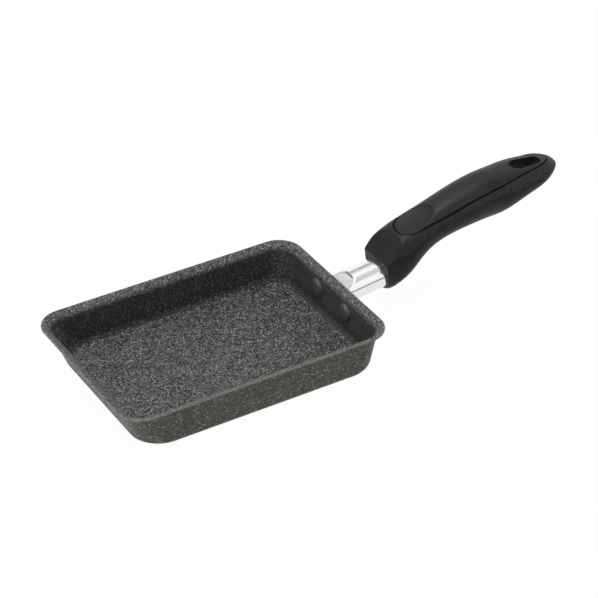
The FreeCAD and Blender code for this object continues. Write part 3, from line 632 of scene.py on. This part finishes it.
class PanSkin:
    """The pan's skin: one bent profile for each side, joined by round corners."""

    def __init__(self, sizes):
        self.sizes = sizes
        self.open_z = sizes.height - sizes.lip_rise
        self.open_corner = sizes.lip_corner - sizes.lip_flare
        slope = sizes.lip_rise / sizes.lip_flare
        self.root_z = sizes.height - sizes.lip_thickness - (sizes.lip_flare - sizes.wall) * slope

    def inner(self, reach, draft, z):
        """Distance of an inner wall from the middle at a height."""
        return reach - self.sizes.lip_flare - draft * (self.open_z - min(z, self.open_z))

    def profile(self, reach, draft):
        """Points across one side, from the floor's middle over the lip to the base's middle."""
        sizes = self.sizes
        lip_low = sizes.height - sizes.lip_thickness
        lip_top = sizes.height + sizes.lip_land * sizes.lip_rise / (sizes.lip_flare - sizes.lip_land)
        floor_edge = self.inner(reach, draft, sizes.floor)
        base_edge = self.inner(reach, draft, 0.0) + sizes.wall
        flat = 0.8 * sizes.floor_corner
        corners = [(floor_edge - flat, sizes.floor, 0.0),
                   (floor_edge, sizes.floor, sizes.floor_round),
                   (reach - sizes.lip_flare, self.open_z, sizes.lip_bend),
                   (reach, lip_top, sizes.lip_round),
                   (reach, lip_low, sizes.lip_round),
                   (self.inner(reach, draft, self.root_z) + sizes.wall, self.root_z, sizes.lip_blend),
                   (base_edge, 0.0, sizes.base_round),
                   (base_edge - flat, 0.0, 0.0)]
        return rounded_line(corners, sizes.bend_steps)

    def zones(self):
        """For each ring, how far it belongs to the outside, to the inner walls and to the lip's edge."""
        steps = self.sizes.bend_steps
        rise = [index / steps for index in range(steps + 1)]
        still, fall, full = [0.0] * (steps + 1), rise[::-1], [1.0] * (steps + 1)
        outside = [0.0] + 3 * still + rise + 2 * full + [1.0]
        start, end = 0.2, 0.4
        early = [min(1.0, max(0.0, (part - start) / (end - start))) for part in rise]
        wall = [0.0] + early + fall + 4 * still + [0.0]
        rim = [0.0] + 2 * still + rise + fall + 2 * still + [0.0]
        return {OUTSIDE: outside, WALL: wall, RIM: rim}

    def corner(self, reach, draft, point):
        """Corner radius that belongs to a point of a side's profile."""
        sizes = self.sizes
        z = min(max(point.y, 0.0), self.open_z)
        level = sizes.floor_corner + (self.open_corner - sizes.floor_corner) * z / self.open_z
        return level + point.x - self.inner(reach, draft, z)

    def rings(self):
        """Closed rings of points, one for each point of the profile."""
        sizes = self.sizes
        half_length, half_width = sizes.lip_length / 2, sizes.lip_width / 2
        kinds = ((half_length, sizes.rear_draft), (half_width, sizes.side_draft),
                 (half_length, sizes.front_draft), (half_width, sizes.side_draft))
        profiles = [self.profile(*kind) for kind in kinds]
        return [self.ring(kinds, points) for points in zip(*profiles, strict=True)]

    def ring(self, kinds, points):
        """One ring: four straight sides and four round corners, starting at the rear side."""
        sizes = self.sizes
        ring = []
        least = 0.5 * MM
        for side in range(4):
            here, after = points[side], points[(side + 1) % 4]
            radius = (self.corner(*kinds[side], here) + self.corner(*kinds[(side + 1) % 4], after)) / 2
            radius = max(radius, least)
            turn = side * math.pi / 2
            along, across = (here.x, after.x) if side % 2 == 0 else (after.x, here.x)
            centre = Vector(((along - radius) * (1 if side in (0, 3) else -1),
                             (across - radius) * (1 if side in (0, 1) else -1)))
            for index in range(sizes.corner_steps + 1):
                part = index / sizes.corner_steps
                way = turn + part * math.pi / 2
                place = centre + Vector((math.cos(way), math.sin(way))) * radius
                ease = part * part * (3 - 2 * part)
                ring.append(Vector((*place, here.y + (after.y - here.y) * ease)))
            ring.append(None)
        return self.filled(ring)

    def filled(self, ring):
        """Divides the straight sides, which are marked by gaps, into equal steps."""
        steps = self.sizes.side_steps
        points = []
        for index, point in enumerate(ring):
            if point is not None:
                points.append(point)
                continue
            start, end = ring[index - 1], ring[(index + 1) % len(ring)]
            points += [start.lerp(end, step / steps) for step in range(1, steps)]
        return points


def neck_frame(pan, neck):
    """Origin of the neck in the grip's mouth, and its directions along and up."""
    origin = Vector((pan.lip_length / 2 + neck.neck_length, 0.0, pan.height - neck.neck_drop))
    cosine, sine = math.cos(neck.neck_angle), math.sin(neck.neck_angle)
    return origin, Vector((cosine, 0.0, sine)), Vector((-sine, 0.0, cosine))


def bowed(value, power):
    """A power of a number that keeps the number's sign."""
    return math.copysign(abs(value) ** power, value)


def oval(neck, inset, steps=96):
    """Points (across, up) of the flame guard's oval section, drawn in by an inset."""
    wide, tall = neck.guard_width / 2 - inset, neck.guard_height / 2 - inset
    power = 2 / neck.guard_fullness
    return [(bowed(math.cos(turn), power) * wide, bowed(math.sin(turn), power) * tall)
            for turn in turns(steps)]


def guard_start(neck, up):
    """How far back along the neck the flame guard begins at a height over its axis."""
    edge = -(neck.neck_length - neck.lip_clearance)
    cosine, sine = math.cos(neck.neck_angle), math.sin(neck.neck_angle)
    slope = math.tan(neck.guard_slant)
    square = (edge + up * sine) / cosine
    rise = neck.neck_drop - neck.guard_shelf
    slanted = (rise - up * cosine + (-edge - up * sine) * slope) / (sine - slope * cosine)
    step = (edge + neck.guard_cut + up * sine) / cosine
    return max(square, min(slanted, step))


def guard_rows(pan, neck):
    """Rings of the flame guard, back along its outer face to the end in the grip and forward inside."""
    origin, along, upward = neck_frame(pan, neck)
    side = Vector((0.0, 1.0, 0.0))
    wall = neck.guard_wall
    rim, deep = 0.2 * wall, 0.8 * wall
    rows = []
    for inset, setback in ((0.0, rim), (0.0, deep), (0.0, None), (wall, None),
                           (wall, deep), (wall, rim), (wall - rim, 0.0), (rim, 0.0)):
        row = []
        for across, up in oval(neck, inset):
            place = neck.guard_end if setback is None else guard_start(neck, up) + setback
            row.append(origin + along * place + side * across + upward * up)
        rows.append(row)
    return rows


def lathe_rows(profile, steps=48):
    """Rings of a round piece turned about X from points (along, radius); points on the axis are tips."""
    rows = []
    for along, radius in profile:
        ways = turns(steps) if radius > 0.0 else [0.0]
        rows.append([(along, radius * math.cos(way), radius * math.sin(way)) for way in ways])
    return rows


def rivet_profile(pan, neck):
    """Half outline of one rivet, from its crown inside the pan to its closing head."""
    head, shank, tail = neck.rivet_head / 2, neck.rivet_shank / 2, neck.rivet_tail / 2
    crown = neck.rivet_dome - neck.rivet_rim
    outer = pan.wall + neck.pad
    steps = 10
    ways = [index / steps * math.pi / 2 for index in range(steps + 1)]
    dome = [(-neck.rivet_rim - crown * math.cos(way), head * math.sin(way)) for way in ways]
    end = outer + neck.rivet_tail_height
    edge = 0.3 * neck.rivet_tail_height
    return dome + [(0.0, head), (0.0, shank), (outer, shank), (outer, tail),
                   (end - edge, tail - edge), (end, tail - 3 * edge), (end, 0.0)]


def rivet_tree(material):
    """Geometry nodes that set copies of one rivet in a row along the wall and tilt the row onto it."""
    tree = bpy.data.node_groups.new("rivet_row", "GeometryNodeTree")
    for name, kind in (("Geometry", "Geometry"), ("Count", "Int"), ("Pitch", "Float"),
                       ("Place", "Vector"), ("Tilt", "Float")):
        tree.interface.new_socket(name, in_out="INPUT", socket_type="NodeSocket" + kind)
    tree.interface.new_socket("Geometry", in_out="OUTPUT", socket_type="NodeSocketGeometry")
    kinds = {"start": "NodeGroupInput", "step": "ShaderNodeCombineXYZ", "half": "ShaderNodeMath",
             "first": "ShaderNodeCombineXYZ", "row": "GeometryNodeMeshLine",
             "copies": "GeometryNodeInstanceOnPoints", "real": "GeometryNodeRealizeInstances",
             "turn": "ShaderNodeCombineXYZ", "move": "GeometryNodeTransform",
             "paint": "GeometryNodeSetMaterial", "end": "NodeGroupOutput"}
    nodes = {name: tree.nodes.new(kind) for name, kind in kinds.items()}
    nodes["row"].mode = "OFFSET"
    nodes["half"].operation = "MULTIPLY"
    nodes["half"].inputs[1].default_value = -0.5
    nodes["paint"].inputs["Material"].default_value = material
    for source, output, target, place in (
            ("start", "Count", "row", "Count"),
            ("start", "Pitch", "step", "Y"),
            ("step", 0, "row", "Offset"),
            ("start", "Pitch", "half", 0),
            ("half", 0, "first", "Y"),
            ("first", 0, "row", "Start Location"),
            ("row", 0, "copies", "Points"),
            ("start", "Geometry", "copies", "Instance"),
            ("copies", 0, "real", 0),
            ("real", 0, "move", "Geometry"),
            ("start", "Place", "move", "Translation"),
            ("start", "Tilt", "turn", "Y"),
            ("turn", 0, "move", "Rotation"),
            ("move", 0, "paint", "Geometry"),
            ("paint", 0, "end", 0)):
        tree.links.new(nodes[source].outputs[output], nodes[target].inputs[place])
    return tree


def plain_mesh(item, name):
    """The evaluated object as a plain mesh, after which its modifiers are removed."""
    bpy.context.view_layer.update()
    graph = bpy.context.evaluated_depsgraph_get()
    mesh = bpy.data.meshes.new_from_object(item.evaluated_get(graph))
    mesh.name = name
    item.modifiers.clear()
    return mesh


class OMELETTE_OT_pan(bpy.types.Operator):
    """Builds the coated pan"""
    bl_idname = "omelette.pan"
    bl_label = "Pan"

    def execute(self, context):
        shell = PanSkin(context.scene.pan_sizes)
        rings = shell.rings()
        mesh = mesh_from_rows("pan_shell", rings, "capped", SHARP_PRESSED)
        for name, levels in shell.zones().items():
            values = [level for level, ring in zip(levels, rings, strict=True) for _ in ring]
            mesh.attributes.new(name, "FLOAT", "POINT").data.foreach_set("value", values)
        settle(add_object("pan_shell", mesh, coating_material()), "pan_coating", "pan_body")
        return {"FINISHED"}


class OMELETTE_OT_rivets(bpy.types.Operator):
    """Sets the rivets in the wall at the handle"""
    bl_idname = "omelette.rivets"
    bl_label = "Rivets"

    def execute(self, context):
        pan, neck = context.scene.pan_sizes, context.scene.neck_sizes
        material = rivet_material()
        rows = lathe_rows(rivet_profile(pan, neck))
        mesh = mesh_from_rows("rivet", rows, "tips", SHARP_PRESSED)
        item = add_object("pan_rivet_row", mesh, material)
        tree = rivet_tree(material)
        row = item.modifiers.new("Rivet row", "NODES")
        row.node_group = tree
        fall = pan.height - pan.lip_rise - neck.rivet_height
        place = (pan.lip_length / 2 - pan.lip_flare - pan.rear_draft * fall, 0.0, neck.rivet_height)
        tilt = math.atan(pan.rear_draft)
        values = {"Count": 2, "Pitch": neck.rivet_pitch, "Place": place, "Tilt": tilt}
        for socket in tree.interface.items_tree:
            if socket.in_out == "INPUT" and socket.name in values:
                row[socket.identifier] = values[socket.name]
        item.data = plain_mesh(item, "pan_rivet_row")
        settle(item, "rivet_metal", "pan_rivets")
        return {"FINISHED"}


class OMELETTE_OT_bracket(bpy.types.Operator):
    """Dresses the cast bracket"""
    bl_idname = "omelette.bracket"
    bl_label = "Bracket"

    def execute(self, context):
        mesh = cad_mesh("handle_bracket", "bracket_casting", SHARP_CAST)
        settle(add_object("bracket_casting", mesh, casting_material()), "bracket_metal", "handle_bracket")
        return {"FINISHED"}


class OMELETTE_OT_guard(bpy.types.Operator):
    """Builds the polished flame guard"""
    bl_idname = "omelette.guard"
    bl_label = "Flame guard"

    def execute(self, context):
        rows = guard_rows(context.scene.pan_sizes, context.scene.neck_sizes)
        mesh = mesh_from_rows("guard_sleeve", rows, "joined", SHARP_SHEET)
        settle(add_object("guard_sleeve", mesh, polish_material()), "guard_metal", "flame_guard")
        return {"FINISHED"}


class OMELETTE_OT_grip(bpy.types.Operator):
    """Dresses the grip and its top inlay"""
    bl_idname = "omelette.grip"
    bl_label = "Grip and inlay"

    def execute(self, context):
        looks = context.scene.finishes
        for node, name, slot, shade, rough in (
                ("handle_body", "grip_moulding", "grip_plastic", looks.grip, 0.32),
                ("handle_inlay", "grip_inlay", "inlay_plastic", looks.inlay, 0.3)):
            mesh = cad_mesh(node, name, SHARP_MOULDED)
            if node == "handle_inlay":
                ease_inlay(mesh, context.scene.grip_sizes)
            material = plastic_material(name + "_plastic", shade, rough)
            settle(add_object(name, mesh, material), slot, node)
        return {"FINISHED"}


class OMELETTE_OT_fasteners(bpy.types.Operator):
    """Gives the screw and its washers their plating"""
    bl_idname = "omelette.fasteners"
    bl_label = "Screw and washers"

    def execute(self, context):
        material = fastener_material()
        for node in ("handle_screw", "screw_washer", "spring_washer"):
            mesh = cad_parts[node].data
            mesh.materials.clear()
            mesh.materials.append(material)
        return {"FINISHED"}


def view_direction(stage):
    """From the target back to the camera."""
    return Vector((math.sin(stage.azimuth) * math.cos(stage.elevation),
                   -math.cos(stage.azimuth) * math.cos(stage.elevation), math.sin(stage.elevation)))


def add_camera(stage):
    """A camera that faces its target."""
    camera = bpy.data.objects.new("camera", bpy.data.cameras.new("camera"))
    bpy.context.scene.collection.objects.link(camera)
    camera.data.sensor_fit = "HORIZONTAL"
    camera.data.sensor_width = 36.0
    camera.data.lens = stage.lens
    camera.data.clip_end = 20.0
    back = view_direction(stage)
    camera.location = Vector(stage.target) + back * stage.distance
    camera.rotation_euler = back.to_track_quat("Z", "Y").to_euler()
    bpy.context.scene.camera = camera


def add_light(name, place, size, power):
    """A square soft light that faces the pan."""
    light = bpy.data.lights.new(name, "AREA")
    light.shape = "SQUARE"
    light.size = size
    light.energy = power
    item = bpy.data.objects.new(name, light)
    item.location = place
    item.rotation_euler = (Vector(place) - LIGHT_TARGET).to_track_quat("Z", "Y").to_euler()
    bpy.context.scene.collection.objects.link(item)
    item.visible_glossy = False


def lying(along, across, height):
    """Corners of a level sheet, between two places along X and two across."""
    return [(along[0], across[0], height), (along[1], across[0], height),
            (along[1], across[1], height), (along[0], across[1], height)]


def standing(start, end, heights):
    """Corners of an upright sheet from one place on the floor to another, between two heights."""
    low, high = heights
    return [(*start, low), (*end, low), (*end, high), (*start, high)]


def add_sheet(name, corners, material):
    """A flat sheet with four corners."""
    mesh = bpy.data.meshes.new(name)
    mesh.from_pydata(corners, [], [(0, 1, 2, 3)])
    return add_object(name, mesh, material)


def add_card(name, shade, strength, corners):
    """A flat card that only mirrors see, as a studio's reflectors and flags are; the cards on the floor are
    painted shadow.
    """
    work = new_finish(name)
    tone = work.noise(0.2, 2.0) * 0.1 + 0.95
    glow = work.node("ShaderNodeEmission", {}, {"Color": work.toned(shade, tone), "Strength": strength})
    item = add_sheet(name, corners, work.close(glow))
    for kind in ("camera", "diffuse", "transmission", "volume_scatter", "shadow"):
        setattr(item, "visible_" + kind, False)


def seen_rays(work):
    """1 for camera, mirror and see-through rays, 0 for those that light the object."""
    camera = work.node("ShaderNodeLightPath", {}, {}, "Is Camera Ray")
    mirror, through = work.also(camera, "Is Glossy Ray"), work.also(camera, "Is Transmission Ray")
    return (camera + mirror + through).clamped()


def floor_material():
    """White floor that keeps a faint shadow."""
    work = new_finish("pale_floor")
    shade = work.mix(work.noise(0.03, 2.0), (0.8, 0.8, 0.8), (0.82, 0.82, 0.82))
    matte = work.node("ShaderNodeBsdfDiffuse", {}, {"Color": shade})
    white = work.node("ShaderNodeEmission", {}, {"Color": WHITE, "Strength": 1.0})
    cover = seen_rays(work) * 0.97
    return work.close(work.node("ShaderNodeMixShader", {}, {0: cover, 1: matte, 2: white}))


def add_world(stage):
    """White where it is seen, softer where it lights the object."""
    world = bpy.data.worlds.new("white_room")
    work = Finish(world)
    soft = work.node("ShaderNodeBackground", {}, {"Color": WHITE, "Strength": stage.ambient})
    white = work.node("ShaderNodeBackground", {}, {"Color": WHITE, "Strength": 1.0})
    mixed = work.node("ShaderNodeMixShader", {}, {0: seen_rays(work), 1: soft, 2: white})
    bpy.context.scene.world = work.close(mixed, "ShaderNodeOutputWorld")


class OMELETTE_OT_stage(bpy.types.Operator):
    """Adds the floor, the light and the camera"""
    bl_idname = "omelette.stage"
    bl_label = "Stage"

    def execute(self, context):
        stage = context.scene.stage
        add_camera(stage)
        add_world(stage)
        add_light("key", (-0.15, -0.1, 1.4), 1.0, stage.key_power)
        add_light("side", (-0.95, -0.4, 0.18), 0.6, stage.fill_power)
        add_light("front", (0.2, -1.2, 0.45), 0.6, stage.front_power)
        add_card("ceiling_gap", (0.64, 0.64, 0.65), 1.0, lying((-2.0, 3.0), (-0.5, 0.72), 1.6))
        add_card("back_gap", (0.02, 0.02, 0.02), 1.0, lying((-2.0, 3.0), (1.7, 2.06), 1.6))
        add_card("back_light", (0.92, 0.97, 1.0), 13.0, lying((-0.2, 0.25), (0.5, 0.9), 1.5))
        add_card("left_light", (0.97, 0.97, 1.0), 7.0, standing((-1.3, 0.32), (-1.1, 0.78), (0.2, 0.75)))
        add_card("left_gap", (0.25, 0.25, 0.25), 1.0, standing((-0.9, 0.8), (-0.5, 1.05), (0.2, 1.0)))
        # Painted shadow: a dark card and a grey card on the floor that only mirrors see, standing in for
        # the shadow under the handle and guard.
        add_card("table_shadow", (0.1, 0.1, 0.1), 1.0, lying((0.0, 0.6), (-0.3, -0.1), CARD_LEVEL))
        add_card("table_shade", (0.86, 0.86, 0.86), 1.0, lying((0.08, 0.4), (-0.085, 0.06), CARD_LEVEL))
        corners = lying(FLOOR_REACH, FLOOR_REACH, FLOOR_LEVEL)
        add_sheet("floor", corners, floor_material())
        context.scene.view_settings.view_transform = "Standard"
        return {"FINISHED"}


class OMELETTE_PT_parts(bpy.types.Panel):
    """Lists the pan's pieces and sizes"""
    bl_idname = "OMELETTE_PT_parts"
    bl_label = "Omelette Pan"
    bl_space_type = "VIEW_3D"
    bl_region_type = "UI"
    bl_category = "Omelette Pan"

    def draw(self, context):
        for step in STEPS:
            self.layout.operator(step.bl_idname)
        for name in GROUPS:
            box = self.layout.box()
            group = getattr(context.scene, name)
            for key in group.__annotations__:
                box.prop(group, key)


STEPS = (OMELETTE_OT_pan, OMELETTE_OT_rivets, OMELETTE_OT_bracket, OMELETTE_OT_guard, OMELETTE_OT_grip,
         OMELETTE_OT_fasteners, OMELETTE_OT_stage)
GROUPS = {"pan_sizes": PanSizes, "neck_sizes": NeckSizes, "grip_sizes": GripSizes, "finishes": Finishes,
          "stage": StageSettings}


def register():
    """Adds the classes, and the groups of sizes to every scene."""
    for item in (*GROUPS.values(), *STEPS, OMELETTE_PT_parts):
        bpy.utils.register_class(item)
    for name, group in GROUPS.items():
        setattr(bpy.types.Scene, name, PointerProperty(type=group))


def unregister():
    """Takes the groups and the classes out again."""
    for name in GROUPS:
        delattr(bpy.types.Scene, name)
    for item in (OMELETTE_PT_parts, *reversed(STEPS), *reversed(list(GROUPS.values()))):
        bpy.utils.unregister_class(item)


def main():
    """Builds every piece and the stage."""
    register()
    for step in STEPS:
        area, name = step.bl_idname.split(".")
        getattr(getattr(bpy.ops, area), name)()


if __name__ == "__main__":
    main()
